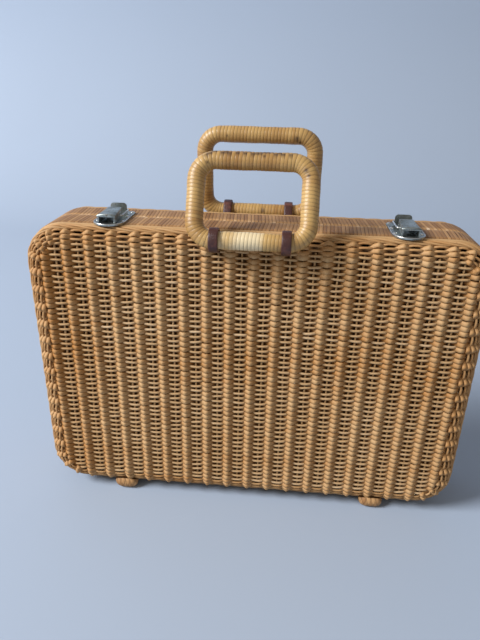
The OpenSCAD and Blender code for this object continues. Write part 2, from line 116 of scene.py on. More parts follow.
# Tubes: each centre point plus cos(angle) times the normal and sin(angle) times the side direction,
# each times its own radius. path is (tubes, points, 3)
def tubeGrid(path, normal, radiusN, radiusB, sides, closed=False):
    n, s, _ = path.shape
    t = tangents(path, closed)
    normal = np.broadcast_to(normal, path.shape)
    nn = unit(normal - np.sum(normal * t, axis=-1, keepdims=True) * t)
    bb = np.cross(t, nn)
    share = np.arange(sides) / sides
    a = np.pi + 2 * np.pi * share
    radiusN = np.broadcast_to(radiusN, (n, s, sides))[..., None]
    radiusB = np.broadcast_to(radiusB, (n, s, sides))[..., None]
    ring = np.cos(a)[:, None] * nn[:, :, None, :] * radiusN
    ring = ring + np.sin(a)[:, None] * bb[:, :, None, :] * radiusB
    verts = path[:, :, None, :] + ring
    step = np.linalg.norm(np.diff(path, axis=1, append=path[:, -1:]), axis=-1)
    along = np.cumsum(step, axis=1) - step
    along = along[:, :, None]
    uv = np.stack(np.broadcast_arrays(along * mm, share + 0 * along), axis=-1)
    one = gridQuads(s, sides, closed, True)
    if not closed:
        one = np.concatenate([one, lidQuads(s, sides)])
    quads = (one[None] + (np.arange(n) * s * sides)[:, None, None]).reshape(-1, 4)
    return verts.reshape(-1, 3), quads, uv.reshape(-1, 2)


# Spreads one value per tube over all the tube's vertices
def perTube(values, points, sides):
    return np.repeat(values, points * sides)


# Spreads one value per path point over the vertices of its ring
def perPoint(values, sides):
    return np.repeat(values, sides)


# Carries flat coordinates (across, up from the middle, out from the seam) to the standing case
def stand(verts, side):
    return np.stack([verts[:, 0], side * verts[:, 2], case["midHeight"] + verts[:, 1]], axis=1)


# Writes a bag as one smooth mesh object in metres, rides it on its body and hides the solids it replaces
def makePiece(name, bag, material, body, replaced=(), flip=False):
    verts = np.concatenate(bag.verts) * mm
    quads = np.concatenate(bag.quads)
    uv = np.concatenate(bag.uvs)
    if flip:
        quads = quads[:, ::-1]
    mesh = bpy.data.meshes.new(name)
    mesh.vertices.add(len(verts))
    mesh.vertices.foreach_set("co", verts.astype(np.float32).ravel())
    mesh.loops.add(quads.size)
    mesh.loops.foreach_set("vertex_index", quads.astype(np.int32).ravel())
    mesh.polygons.add(len(quads))
    mesh.polygons.foreach_set("loop_start", (np.arange(len(quads)) * 4).astype(np.int32))
    mesh.polygons.foreach_set("use_smooth", np.ones(len(quads), bool))
    layer = mesh.uv_layers.new(name="strand")
    layer.data.foreach_set("uv", uv[quads.ravel()].astype(np.float32).ravel())
    for key, values in bag.values.items():
        attribute = mesh.attributes.new(key, "FLOAT", "POINT")
        attribute.data.foreach_set("value", np.concatenate(values).astype(np.float32))
    mesh.update()
    mesh.validate()
    mesh.materials.append(material)
    piece = bpy.data.objects.new(name, mesh)
    bpy.context.scene.collection.objects.link(piece)
    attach(piece, body)
    if replaced:
        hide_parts(*replaced)
    print("piece", name, len(quads) * 2, "triangles")


# A piece of one half: named after it, riding on it, in place of its node where one is given
def halfPiece(side, kind, bag, material, node=None):
    half = halves[side]
    replaced = (half + "_" + node,) if node else ()
    makePiece(half + kind, bag, material, half + "_half", replaced, flip=side > 0)


# Rounded rectangle walked by length, clockwise from the top left: the centre of each turn and the outward
# heading are piecewise linear in the length t; the whole length comes last
def walkLoop(t, halfX, halfY, quarter):
    stops = np.cumsum([0] + [2 * halfX, quarter, 2 * halfY, quarter] * 2)
    t = np.mod(t, stops[-1])
    cx = np.interp(t, stops, [-1, 1, 1, 1, 1, -1, -1, -1, -1]) * halfX
    cy = np.interp(t, stops, [1, 1, 1, -1, -1, -1, -1, 1, 1]) * halfY
    heading = np.radians(np.interp(t, stops, [90, 90, 0, 0, -90, -90, -180, -180, -270]))
    return cx, cy, heading, stops[-1]


turn = (case["spineRadius"] + case["lineOut"]) * math.pi / 2
flatX = case["spineHalfWidth"] - case["spineRadius"]
flatH = case["spineHalfHeight"] - case["spineRadius"]
girth = walkLoop(0.0, flatX, flatH, turn)[3]


# Perimeter of the spine: t is a length along a line outside it
def aroundCase(t):
    cx, ch, heading, _ = walkLoop(t, flatX, flatH, turn)
    return cx, ch, np.cos(heading), np.sin(heading)


# Places of the upright ribs along the perimeter: even steps on the runs and three in each turn
def ribPlaces():
    corner = np.array(case["cornerRibs"]) / 90
    top = flatX + case["ribPitch"] * np.arange(*case["topRibs"])
    side = 2 * flatX + turn + flatH + case["sidePitch"] * (np.arange(*case["sideRibs"]) + 0.5)
    first = 2 * flatX + turn * corner
    second = 2 * flatX + turn + 2 * flatH + turn * (1 - corner[::-1])
    half = np.concatenate([top, first, side, second])
    return np.concatenate([half, half + girth / 2])


# Point at a radius and a turn angle off the face around the spine: out with cos, sideways with sin
def overEdge(t, radius, angle):
    cx, ch, nx, nh = aroundCase(t)
    reach = case["spineRadius"] + radius * np.sin(angle)
    out = case["spineOut"] + radius * np.cos(angle)
    return np.stack(np.broadcast_arrays(cx + reach * nx, ch + reach * nh, out), axis=-1)


# Direction away from the spine at the same place
def offEdge(t, angle):
    nx, nh = aroundCase(t)[2:]
    parts = np.broadcast_arrays(nx * np.sin(angle), nh * np.sin(angle), np.cos(angle) + 0 * nx)
    return np.stack(parts, axis=-1)


# Smooth step from 0 to 1 between two edges
def ease(x, low, high):
    f = np.clip((x - low) / (high - low), 0, 1)
    return f * f * (3 - 2 * f)


# Smooth step from 1 to 0 that ends at an edge, over a width
def fade(x, end, width):
    return ease(end - x, 0, width)


wavers = {"rates": [0.021, 0.047, 0.113], "spread": (0.8, 1.25), "stretch": 2.2, "calm": 1.7}


# Slow waver: a sum of three sines with seeded phases, one row of values per strand
def waver(x, rows, size):
    phase = rng.uniform(0, 2 * np.pi, (rows, 3))
    rate = np.array(wavers["rates"]) * rng.uniform(*wavers["spread"], (rows, 3))
    wave = np.sin(x[..., None] * rate[:, None, :] * 2 * np.pi / wavers["stretch"] + phase[:, None, :])
    return size * wave.sum(axis=-1) / wavers["calm"]


# Coordinates on a strip: the length along it in metres and the share across it
def stripUv(along, part):
    return np.stack(np.broadcast_arrays(along, part), axis=-1).reshape(-1, 2)


# Low arch across one wrap: 1 in its middle, falling to 0 at both edges by a power
def wrapArch(part, power):
    return np.sqrt(np.clip(1 - (2 * part - 1) ** power, 0, 1))


# Places a node, sets its fields and links or fills its inputs
def addNode(tree, kind, inputs=None, **fields):
    node = tree.nodes.new(kind)
    for key, value in fields.items():
        setattr(node, key, value)
    for key, value in (inputs or {}).items():
        if isinstance(value, bpy.types.NodeSocket):
            tree.links.new(value, node.inputs[key])
        else:
            node.inputs[key].default_value = value
    return node


# One sum or product of values
def mathNode(tree, operation, first, second=0.5, third=0.5):
    return addNode(tree, "ShaderNodeMath", {0: first, 1: second, 2: third}, operation=operation).outputs[0]


# First colour to second colour by a factor
def mixColour(tree, factor, first, second):
    return addNode(tree, "ShaderNodeMix", {0: factor, 6: first, 7: second}, data_type="RGBA").outputs[2]


# A named value carried by the points of the mesh
def pointValue(tree, name):
    return addNode(tree, "ShaderNodeAttribute", attribute_name=name).outputs["Fac"]


# Smooth step of a value from 0 to 1 between two edges
def rampNode(tree, value, low, high):
    return addNode(tree, "ShaderNodeMapRange", {0: value, 1: low, 2: high, 3: 0.0, 4: 1.0},
                   interpolation_type="SMOOTHSTEP").outputs[0]


# Cloudy noise at a scale, with so many finer layers, each fainter by the roughness
def noiseNode(tree, vector, scale, detail, rough=0.5):
    return addNode(tree, "ShaderNodeTexNoise", {"Vector": vector, "Scale": scale, "Detail": detail,
                                                "Roughness": rough}).outputs[0]


# Bump by a height, with its strength and depth
def bumpNode(tree, strength, deep, height):
    return addNode(tree, "ShaderNodeBump", {"Strength": strength, "Distance": deep,
                                            "Height": height}).outputs[0]


# New material with its node tree and shader
def newMaterial(name):
    material = bpy.data.materials.new(name)
    material.use_nodes = True
    return material, material.node_tree, material.node_tree.nodes["Principled BSDF"]


# Links outputs to the named inputs of a node
def wire(tree, node, links):
    for key, value in links.items():
        tree.links.new(value, node.inputs[key])


# A noise of about one half, centred on nothing and given a spread
def centred(tree, value, spread):
    return mathNode(tree, "MULTIPLY_ADD", value, spread, -0.5 * spread)


colourLabels = ("Colour", "DirtAndShade")


# New shader group with named inputs and outputs: colours where the label is one of those, else values
def newGroup(name, inputs, outputs):
    tree = bpy.data.node_groups.new(name, "ShaderNodeTree")
    for way, labels in (("INPUT", inputs), ("OUTPUT", outputs)):
        for label in labels:
            kind = "NodeSocketColor" if label in colourLabels else "NodeSocketFloat"
            tree.interface.new_socket(label, in_out=way, socket_type=kind)
    return tree, tree.nodes.new("NodeGroupInput"), tree.nodes.new("NodeGroupOutput")


fibres = {
    "toneShift": 61.0,
    "fibre": (1.0, 3.0, 0.6),
    "patchLayers": 4.0,
    "speck": (420.0, 2.0),
    "speckEdges": (0.6, 0.74),
}


# Cane grain: noise drawn out along the strand's own length for fibres, and slow noise in the part's
# own space for weathered patches
def caneGrainGroup():
    tree, given, made = newGroup("caneGrain", ["Along", "Around", "Patch"], ["Fibre", "Patches", "Specks"])
    uv = addNode(tree, "ShaderNodeUVMap", uv_map="strand").outputs[0]
    split = addNode(tree, "ShaderNodeSeparateXYZ", {0: uv})
    place = addNode(tree, "ShaderNodeCombineXYZ", {
        0: mathNode(tree, "MULTIPLY", split.outputs[0], given.outputs["Along"]),
        1: mathNode(tree, "MULTIPLY", split.outputs[1], given.outputs["Around"]),
        2: mathNode(tree, "MULTIPLY", pointValue(tree, "tone"), fibres["toneShift"]),
    }).outputs[0]
    own = addNode(tree, "ShaderNodeTexCoord").outputs["Object"]
    fibre = noiseNode(tree, place, *fibres["fibre"])
    patch = noiseNode(tree, own, given.outputs["Patch"], fibres["patchLayers"])
    speck = rampNode(tree, noiseNode(tree, own, *fibres["speck"]), *fibres["speckEdges"])
    wire(tree, made, {"Fibre": fibre, "Patches": patch, "Specks": speck})
    return tree


# Painted shade and grime: darkens the colour where the surface lies deep, as painted shade in the recesses
# and grooves, and where it is marked by nicks, knots and soil
def shadeAndGrimeGroup():
    tree, given, made = newGroup("shadeAndGrime", ["Colour", "DirtAndShade", "Strength"], ["Colour", "Mask"])
    deep = mathNode(tree, "MULTIPLY", pointValue(tree, "deep"), given.outputs["Strength"])
    mask = addNode(tree, "ShaderNodeMath", {0: deep, 1: pointValue(tree, "mark")},
                   operation="ADD", use_clamp=True).outputs[0]
    colour = mixColour(tree, mask, given.outputs["Colour"], given.outputs["DirtAndShade"])
    wire(tree, made, {"Colour": colour, "Mask": mask})
    return tree


caneGrain = caneGrainGroup()
shadeAndGrime = shadeAndGrimeGroup()
caneBase = {
    "toneEdges": (0.0, 1.0),
    "paleEdges": (0.95, 1.6),
    "fibreRough": 0.25,
    "shadeMaskRough": 0.2,
    "bumpDeep": 0.0004,
}


# Cane finish: light and dark cane mixed by strand tone, fibre and patches, darkened in the depths as
# painted shade
def caneMaterial(name, look):
    material, tree, shader = newMaterial(name)
    grain = addNode(tree, "ShaderNodeGroup", {"Along": look["along"], "Around": look["around"],
                                              "Patch": look["patch"]}, node_tree=caneGrain).outputs
    fibre = centred(tree, grain["Fibre"], look["fibre"])
    patch = centred(tree, grain["Patches"], look["patches"])
    tone = mathNode(tree, "ADD", pointValue(tree, "tone"), mathNode(tree, "ADD", fibre, patch))
    colour = mixColour(tree, rampNode(tree, tone, *caneBase["toneEdges"]), look["dark"], look["light"])
    colour = mixColour(tree, rampNode(tree, tone, *caneBase["paleEdges"]), colour, look["pale"])
    specks = mathNode(tree, "MULTIPLY", grain["Specks"], look["specks"])
    colour = mixColour(tree, specks, colour, look["dirtAndShade"])
    # Painted shade: the colour is pulled towards the darkest colour by the depth value in recesses and
    # grooves, and by the real marks
    paintedShade = addNode(tree, "ShaderNodeGroup", {"Colour": colour, "DirtAndShade": look["dirtAndShade"],
                                              "Strength": look["paintedShade"]}, node_tree=shadeAndGrime).outputs
    spread = caneBase["fibreRough"]
    rough = mathNode(tree, "MULTIPLY_ADD", grain["Fibre"], spread, look["rough"] - spread / 2)
    # Roughness rises with the same mask of painted shade and marks
    rough = mathNode(tree, "ADD", rough, mathNode(tree, "MULTIPLY", paintedShade["Mask"], caneBase["shadeMaskRough"]))
    bump = bumpNode(tree, look["bump"], caneBase["bumpDeep"], grain["Fibre"])
    wire(tree, shader, {"Base Color": paintedShade["Colour"], "Roughness": rough, "Normal": bump})
    shader.inputs["Specular IOR Level"].default_value = look["gloss"]
    return material


# The darkest colour of each look is the colour of dirt specks and also the painted shade laid into
# recesses and grooves; one value of each look sets how strong that painted shade is
caneLooks = {
    "weaveCane": {
        "light": (0.485, 0.298, 0.138, 1), "dark": (0.345, 0.143, 0.030, 1),
        "pale": (0.66, 0.47, 0.28, 1), "dirtAndShade": (0.045, 0.018, 0.006, 1),
        "along": 90.0, "around": 5.0, "patch": 16.0, "fibre": 0.6, "patches": 0.7, "specks": 0.25,
        "paintedShade": 0.92, "rough": 0.6, "bump": 0.35, "gloss": 0.25,
    },
    "rimCane": {
        "light": (0.42, 0.23, 0.095, 1), "dark": (0.20, 0.092, 0.034, 1),
        "pale": (0.80, 0.60, 0.40, 1), "dirtAndShade": (0.05, 0.02, 0.008, 1),
        "along": 60.0, "around": 40.0, "patch": 14.0, "fibre": 0.5, "patches": 0.7, "specks": 0.2,
        "paintedShade": 0.95, "rough": 0.55, "bump": 0.25, "gloss": 0.25,
    },
    "handleCane": {
        "light": (0.52, 0.325, 0.115, 1), "dark": (0.30, 0.145, 0.038, 1),
        "pale": (0.74, 0.60, 0.37, 1), "dirtAndShade": (0.05, 0.022, 0.008, 1),
        "along": 40.0, "around": 30.0, "patch": 22.0, "fibre": 0.45, "patches": 0.7, "specks": 0.2,
        "paintedShade": 0.7, "rough": 0.38, "bump": 0.2, "gloss": 0.5,
    },
    "footCane": {
        "light": (0.52, 0.29, 0.12, 1), "dark": (0.25, 0.11, 0.035, 1),
        "pale": (0.70, 0.48, 0.26, 1), "dirtAndShade": (0.035, 0.016, 0.007, 1),
        "along": 60.0, "around": 20.0, "patch": 40.0, "fibre": 0.6, "patches": 0.9, "specks": 0.4,
        "paintedShade": 0.9, "rough": 0.55, "bump": 0.3, "gloss": 0.35,
    },
}
canes = {name: caneMaterial(name, look) for name, look in caneLooks.items()}
print("cane finishes", len(canes))


leatherLook = {
    "base": (0.050, 0.014, 0.011, 1),
    "rubbed": (0.15, 0.048, 0.030, 1),
    "grain": 900.0,
    "grainEdges": (0.0, 0.25),
    "patch": (130.0, 4.0),
    "patchEdges": (0.45, 0.75),
    "patchRough": 0.25,
    "rubEdges": (0.0, 1.3),
    "rough": 0.3,
    "bump": 0.4,
    "bumpDeep": 0.0002,
}


# Leather: fine cell grain, and paler where patches of noise and the marked edges are rubbed
def leatherMaterial(look):
    material, tree, shader = newMaterial("strapLeather")
    own = addNode(tree, "ShaderNodeTexCoord").outputs["Object"]
    cells = addNode(tree, "ShaderNodeTexVoronoi", {"Vector": own, "Scale": look["grain"]},
                    feature="DISTANCE_TO_EDGE").outputs[0]
    patch = noiseNode(tree, own, *look["patch"])
    rub = mathNode(tree, "ADD", rampNode(tree, patch, *look["patchEdges"]), pointValue(tree, "mark"))
    colour = mixColour(tree, rampNode(tree, rub, *look["rubEdges"]), look["base"], look["rubbed"])
    rough = mathNode(tree, "MULTIPLY_ADD", patch, look["patchRough"], look["rough"])
    height = rampNode(tree, cells, *look["grainEdges"])
    bump = bumpNode(tree, look["bump"], look["bumpDeep"], height)
    wire(tree, shader, {"Base Color": colour, "Roughness": rough, "Normal": bump})
    return material


strapLeather = leatherMaterial(leatherLook)


plating = {
    "cloud": (5.0, 0.6),
    "cloudEdges": (0.35, 0.68),
    "freckleLayers": 2.0,
    "freckleEdges": (0.58, 0.70),
    "scratchTurn": (0.0, 0.0, 0.5),
    "scratchScale": (2200.0, 160.0, 300.0),
    "scratch": (1.0, 1.0),
    "scratchEdges": (0.62, 0.72),
    "scratchBright": 0.5,
    "rustCover": 0.7,
    "rustMetal": -0.6,
    "tarnishRough": 0.18,
    "rustRough": 0.25,
    "bump": 0.15,
    "bumpDeep": 0.0001,
}


# Aged plating: cloudy tarnish, dark freckles and bright rubbed scratches, in the part's own space
def agedPlatingGroup():
    tree, given, made = newGroup("agedPlating", ["Cloud", "Freckle"], ["Tarnish", "Freckles", "Scratches"])
    own = addNode(tree, "ShaderNodeTexCoord").outputs["Object"]
    cloud = noiseNode(tree, own, given.outputs["Cloud"], *plating["cloud"])
    freckle = noiseNode(tree, own, given.outputs["Freckle"], plating["freckleLayers"])
    drawn = addNode(tree, "ShaderNodeMapping", {"Vector": own, "Rotation": plating["scratchTurn"],
                                                "Scale": plating["scratchScale"]}).outputs[0]
    scratch = noiseNode(tree, drawn, *plating["scratch"])
    wire(tree, made, {"Tarnish": rampNode(tree, cloud, *plating["cloudEdges"]),
                      "Freckles": rampNode(tree, freckle, *plating["freckleEdges"]),
                      "Scratches": rampNode(tree, scratch, *plating["scratchEdges"])})
    return tree


agedPlating = agedPlatingGroup()
metalLooks = {
    "agedSteel": {
        "bright": (0.46, 0.50, 0.48, 1), "dull": (0.19, 0.21, 0.20, 1), "rust": (0.075, 0.04, 0.022, 1),
        "cloud": 95.0, "freckle": 420.0, "rough": 0.33,
    },
    "wornSteel": {
        "bright": (0.80, 0.80, 0.77, 1), "dull": (0.40, 0.41, 0.41, 1), "rust": (0.10, 0.055, 0.03, 1),
        "cloud": 120.0, "freckle": 480.0, "rough": 0.24,
    },
}


# Metal finish: bright plating dulled by tarnish, scratched bright again and freckled with rust
def metalMaterial(name, look):
    material, tree, shader = newMaterial(name)
    age = addNode(tree, "ShaderNodeGroup", {"Cloud": look["cloud"], "Freckle": look["freckle"]},
                  node_tree=agedPlating).outputs
    colour = mixColour(tree, age["Tarnish"], look["bright"], look["dull"])
    scratched = mathNode(tree, "MULTIPLY", age["Scratches"], plating["scratchBright"])
    colour = mixColour(tree, scratched, colour, look["bright"])
    rusted = mathNode(tree, "MULTIPLY", age["Freckles"], plating["rustCover"])
    colour = mixColour(tree, rusted, colour, look["rust"])
    metal = mathNode(tree, "MULTIPLY_ADD", age["Freckles"], plating["rustMetal"], 1.0)
    rough = mathNode(tree, "MULTIPLY_ADD", age["Tarnish"], plating["tarnishRough"], look["rough"])
    rough = mathNode(tree, "MULTIPLY_ADD", age["Freckles"], plating["rustRough"], rough)
    bump = bumpNode(tree, plating["bump"], plating["bumpDeep"], age["Freckles"])
    wire(tree, shader, {"Base Color": colour, "Metallic": metal, "Roughness": rough, "Normal": bump})
    return material


metals = {name: metalMaterial(name, look) for name, look in metalLooks.items()}
print("metal finishes", len(metals))

# Woven face: thick strands over the ribs, thin rods over the fine stakes between them
weave = {
    "pairs": 47,
    "pairPitch": 5.2,
    "samples": 206,
    "thick": 1.3,
    "thickTall": 2.45,
    "thickLow": 35.0,
    "thickRise": 8.6,
    "rod": 1.15,
    "rodHigh": 41.9,
    "rodFall": 5.8,
    "rodNarrow": 2.8,
    "crest": 0.05,
    "rib": 2.4,
    "ribOut": 39.4,
    "stake": 0.95,
    "stakeOut": 39.95,
    "spans": (-11, 11),
    "ribs": (-9, 10),
    "stakes": (-9, 9),
    "upPoints": 25,
    "sides": 6,
    "endRod": 0.43,
    "endOver": 0.5,
    "endOut": 39.5,
    "endDip": 4.0,
    "waverSize": 0.06,
    "waverOut": 0.12,
    "waverUp": 0.38,
    "waverRib": 0.35,
    "thickWiden": 0.25,
    "rodWiden": 0.5,
    "thickTone": 0.58,
    "rodTone": 1.04,
    "toneSpread": 0.09,
    "toneLimits": (0.05, 1.4),
    "ribTone": 0.55,
    "stakeTone": 0.95,
    "upSpread": 0.15,
    "upLimits": (0.1, 1.2),
    "ribShade": 0.5,
    # painted shade: the left end of the face darker
    "leftPaintedShade": 0.3,
    "leftFrom": (120.0, 190.0),
    # crests paler where rubbed, flanks darker: partly wear, partly painted shade on the flanks
    "crestWearAndShade": 0.9,
    "crestFrom": 0.85,
    "sunkTop": (40.4, 2.2),
    "sunkInner": (33.6, 1.8),
}
# Samples from one rib to the next, and the factors that press the section of a thick strand flat
ribShares = np.array([0.0, 0.025, 0.08, 0.15, 0.25, 0.4, 0.6, 0.75, 0.85, 0.92, 0.975])
flatStrand = np.array([1.0, 1.5, 1.5, 1.0, 1.5, 1.5])


# Tent between ribs for the thick rows: 1 on a rib, 0 between, its peak rounded as a hyperbola
def thickLift(phase):
    far = 2 * np.abs(phase - np.round(phase))
    e = weave["crest"]
    return 1 - (np.sqrt(far ** 2 + e ** 2) - e) / (math.sqrt(1 + e ** 2) - e)


# Raised cosine for the rods, made narrow by a power: 1 behind a rib, 0 between
def rodLift(phase):
    return (0.5 + 0.5 * np.cos(2 * np.pi * phase)) ** weave["rodNarrow"]


# Height of a row: a thick one rises from low by its lift, a rod falls from high by its lift
def rowOut(sizes, lift, thick):
    if thick:
        return sizes["thickLow"] + sizes["thickRise"] * lift
    return sizes["rodHigh"] - sizes["rodFall"] * lift


# Rows: straight across; a thick row rises over each rib as a tent, a rod falls behind it;
# the ends dip under the edge. Samples crowd round the ribs. Ribs and stakes: straight up
def facePiece(side, thick):
    bag = Bag()
    pairs = weave["pairs"]
    rows = np.arange(pairs) - (pairs - 1) / 2
    ends = weave["endRod"]
    between = np.concatenate([[rows[0] - ends], rows[:-1] + 0.5, [rows[-1] + ends]])
    h = (rows if thick else between) * weave["pairPitch"]
    n = len(h)
    over = np.clip(np.abs(h) - flatH, 0, case["spineRadius"])
    reach = flatX + np.sqrt(case["spineRadius"] ** 2 - over ** 2) + weave["endOver"]
    base = ((np.arange(*weave["spans"])[:, None] + ribShares[None]) * case["ribPitch"]).ravel()
    count = np.arange(len(base))
    first = np.interp(-reach, base, count)[:, None]
    last = np.interp(reach, base, count)[:, None]
    x = np.interp(first + (last - first) * np.linspace(0, 1, weave["samples"]), count, base)
    lift = (thickLift if thick else rodLift)(x / case["ribPitch"])
    grow = (1 + waver(x, n, weave["waverSize"]))[..., None]
    out = rowOut(weave, lift, thick) + waver(x, n, weave["waverOut"])
    dip = ease(np.abs(x), reach[:, None] - weave["endDip"], reach[:, None])
    out = out - np.maximum(out - weave["endOut"], 0) * dip
    path = np.stack([x, h[:, None] + waver(x, n, weave["waverUp"]), out], axis=-1)
    deepR = (weave["thick"] * flatStrand if thick else weave["rod"]) * grow
    wide = 1 + (weave["thickWiden"] * (1 - lift) if thick else weave["rodWiden"] * lift)
    tallR = (weave["thickTall"] if thick else weave["rod"]) * grow * wide[..., None]
    verts, quads, uv = tubeGrid(path, upward, deepR, tallR, weave["sides"])
    tone = rng.normal(weave["thickTone"] if thick else weave["rodTone"], weave["toneSpread"], n)
    # Tone differs at random for each strand; painted shade then darkens the left end of the face
    tone = np.clip(tone, *weave["toneLimits"])[:, None] - weave["leftPaintedShade"] * ease(-x, *weave["leftFrom"])
    if thick:
        # Crests paler and flanks darker: partly wear on the crests, partly painted shade on the flanks
        tone = tone + weave["crestWearAndShade"] * (lift - weave["crestFrom"])
    # The depth between the strands goes in as painted shade for the gaps
    bag.add(stand(verts, side), quads, uv, perPoint(tone, weave["sides"]), sunk(verts[:, 2]))
    x = (np.arange(*weave["ribs"]) if thick else np.arange(*weave["stakes"]) + 0.5) * case["ribPitch"]
    over = np.clip(np.abs(x) - flatX, 0, case["spineRadius"])
    reach = flatH + np.sqrt(case["spineRadius"] ** 2 - over ** 2)
    up = np.linspace(-1, 1, weave["upPoints"]) * reach[:, None]
    out = np.full_like(up, weave["ribOut"] if thick else weave["stakeOut"])
    path = np.stack([x[:, None] + waver(up, len(x), weave["waverRib"]), up, out], axis=-1)
    size = weave["rib"] if thick else weave["stake"]
    verts, quads, uv = tubeGrid(path, upward, size, size, weave["sides"])
    tone = rng.normal(weave["ribTone"] if thick else weave["stakeTone"], weave["upSpread"], len(x))
    tone = perTube(np.clip(tone, *weave["upLimits"]), weave["upPoints"], weave["sides"])
    # Painted shade on the ribs, which lie behind the strands
    bag.add(stand(verts, side), quads, uv, tone, weave["ribShade"] if thick else 0.0)
    kind, node = ("Weave", "panel") if thick else ("Rods", None)
    halfPiece(side, kind, bag, canes["weaveCane"], node)


# How deep a point lies between the strands, used as painted shade in the gaps: nothing at the crest and at
# the inner side, most in between
def sunk(out):
    top, below = weave["sunkTop"]
    inner, above = weave["sunkInner"]
    return np.clip((top - out) / below, 0, 1) * np.clip((out - inner) / above, 0, 1)


for side in halves:
    facePiece(side, True)
    facePiece(side, False)

# Woven edge: rows round the case over the rounding, a twisted band and a smooth cane beside the rim
edge = {
    "angles": [0.0, 11.5, 23.0, 34.5, 46.0, 57.5],
    "thick": 1.3,
    "thickTall": 2.2,
    "thickLow": 4.2,
    "thickRise": 8.4,
    "rod": 1.1,
    "rodHigh": 11.0,
    "rodFall": 5.7,
    "twists": 4,
    "twistAngle": 75.0,
    "twistSpread": 0.19,
    "twistRadius": 1.2,
    "twistPitch": 62.0,
    "twistAway": 11.6,
    "twistRise": 0.9,
    "twistSunk": (12.2, 4.0),
    "twistShadeMost": 0.6,
    "capRadius": 1.75,
    "capAngle": 97.0,
    "capAway": 12.2,
    "rib": 2.3,
    "ribRadius": 8.2,
    "ribBend": (-8, 92),
    "ribPoints": 12,
    "ribEnd": 2.5,
    "ribShade": 0.4,
    "sway": 0.02,
    "swayRate": 0.06,
    "points": 560,
    "sides": 6,
    "capSides": 8,
    "rowTone": (0.45, 0.65),
    "twistTone": (0.5, 0.75),
    "capTone": 0.85,
    "ribTone": (0.4, 0.7),
}


# One closed strand round the edge: a tube along the given radius and angle, stood on its half
def addHoop(bag, side, t, radius, angle, thick, sides, tone, deep):
    path = overEdge(t, radius, angle)[None]
    verts, quads, uv = tubeGrid(path, offEdge(t, angle)[None], *thick, sides, closed=True)
    bag.add(stand(verts, side), quads, uv, tone, deep)


# Rows: radius about the spine by the same tent or raised cosine between ribs. Twisted band: strands whose
# angle and radius go round in step, evenly apart. Cap: one smooth cane. Ribs: bent over the edge
def edgePiece(side):
    bag = Bag()
    places = ribPlaces()
    count = len(places)
    sides = edge["sides"]
    gaps = np.diff(places, append=places[0] + girth)
    t = (places[:, None] + gaps[:, None] * ribShares[None]).ravel()
    for i, degrees in enumerate(edge["angles"]):
        thick = i % 2 == 0
        lift = (thickLift if thick else rodLift)(np.tile(ribShares, count))
        deepR = edge["thick"] if thick else edge["rod"]
        flatR = deepR * flatStrand if thick else deepR
        tallR = edge["thickTall"] if thick else edge["rod"]
        radius = rowOut(edge, lift, thick)
        angle = math.radians(degrees) + edge["sway"] * np.sin(t * edge["swayRate"] + i)
        # Painted shade in the gaps between the rows
        deep = sunk(np.repeat(radius + deepR, sides) + case["spineOut"])
        tone = rng.uniform(*edge["rowTone"])
        addHoop(bag, side, t, radius, angle, (flatR, tallR), sides, tone, deep)
    t = np.arange(edge["points"]) * girth / edge["points"]
    turns = round(girth / edge["twistPitch"])
    for i in range(edge["twists"]):
        spin = 2 * np.pi * (turns * t / girth + i / edge["twists"])
        angle = math.radians(edge["twistAngle"]) + edge["twistSpread"] * np.cos(spin)
        radius = edge["twistAway"] + edge["twistRise"] * np.sin(spin)
        top, below = edge["twistSunk"]
        # Painted shade where the twisted strands lie close to the case, capped
        deep = np.clip((top - np.repeat(radius, sides)) / below, 0, edge["twistShadeMost"])
        tone = rng.uniform(*edge["twistTone"])
        addHoop(bag, side, t, radius, angle, (edge["twistRadius"],) * 2, sides, tone, deep)
    angle = np.full_like(t, math.radians(edge["capAngle"]))
    thin = (edge["capRadius"],) * 2
    addHoop(bag, side, t, edge["capAway"], angle, thin, edge["capSides"], edge["capTone"], 0.0)
    points = edge["ribPoints"]
    bend = np.radians(np.linspace(*edge["ribBend"], points))
    path = overEdge(np.broadcast_to(places[:, None], (count, points)), edge["ribRadius"], bend[None])
    path = np.concatenate([path, path[:, -1:] - edge["ribEnd"] * upward], axis=1)
    points = points + 1
    bend = np.append(bend, bend[-1])
    normal = offEdge(np.broadcast_to(places[:, None], (count, points)), bend[None])
    verts, quads, uv = tubeGrid(path, normal, edge["rib"], edge["rib"], sides)
    tone = perTube(rng.uniform(*edge["ribTone"], count), points, sides)
    # Painted shade on the ribs over the edge
    bag.add(stand(verts, side), quads, uv, tone, edge["ribShade"])
    halfPiece(side, "Edge", bag, canes["weaveCane"], "border")


for side in halves:
    edgePiece(side)

# Rim: a flat hoop bound with cane strip
rim = {
    "wraps": 400,
    "perWrap": 6,
    "slope": 0.02,
    "relief": 0.3,
    "nicks": {-1: [103, 105, 106, 108, 34], 1: [20, 90]},
    "profile": [(14.2, 1.5), (14.2, 7.0), (14.2, 12.0), (14.2, 17.0), (14.2, 22.0), (14.2, 26.4),
                (13.2, 27.7), (8.2, 27.7), (7.2, 26.5), (7.2, 1.2), (8.2, 0.06), (13.5, 0.06)],
    "outward": [1, 1, 1, 1, 1, 1, 0.7, -0.5, -1, -1, -0.5, 0.7],
    "slopeFrom": 14.0,
    "archPower": 6,
    "tone": (0.5, 0.15),
    "toneLimits": (0.0, 1.2),
    "seamPale": 0.55,
    "seamFade": (3.0, 2.0),
    "grooveShade": 0.7,
    "grooveSpread": (0.4, 1.3),
    "nickRise": (5.0, 8.0),
    "nickFade": (22.0, 4.0),
}


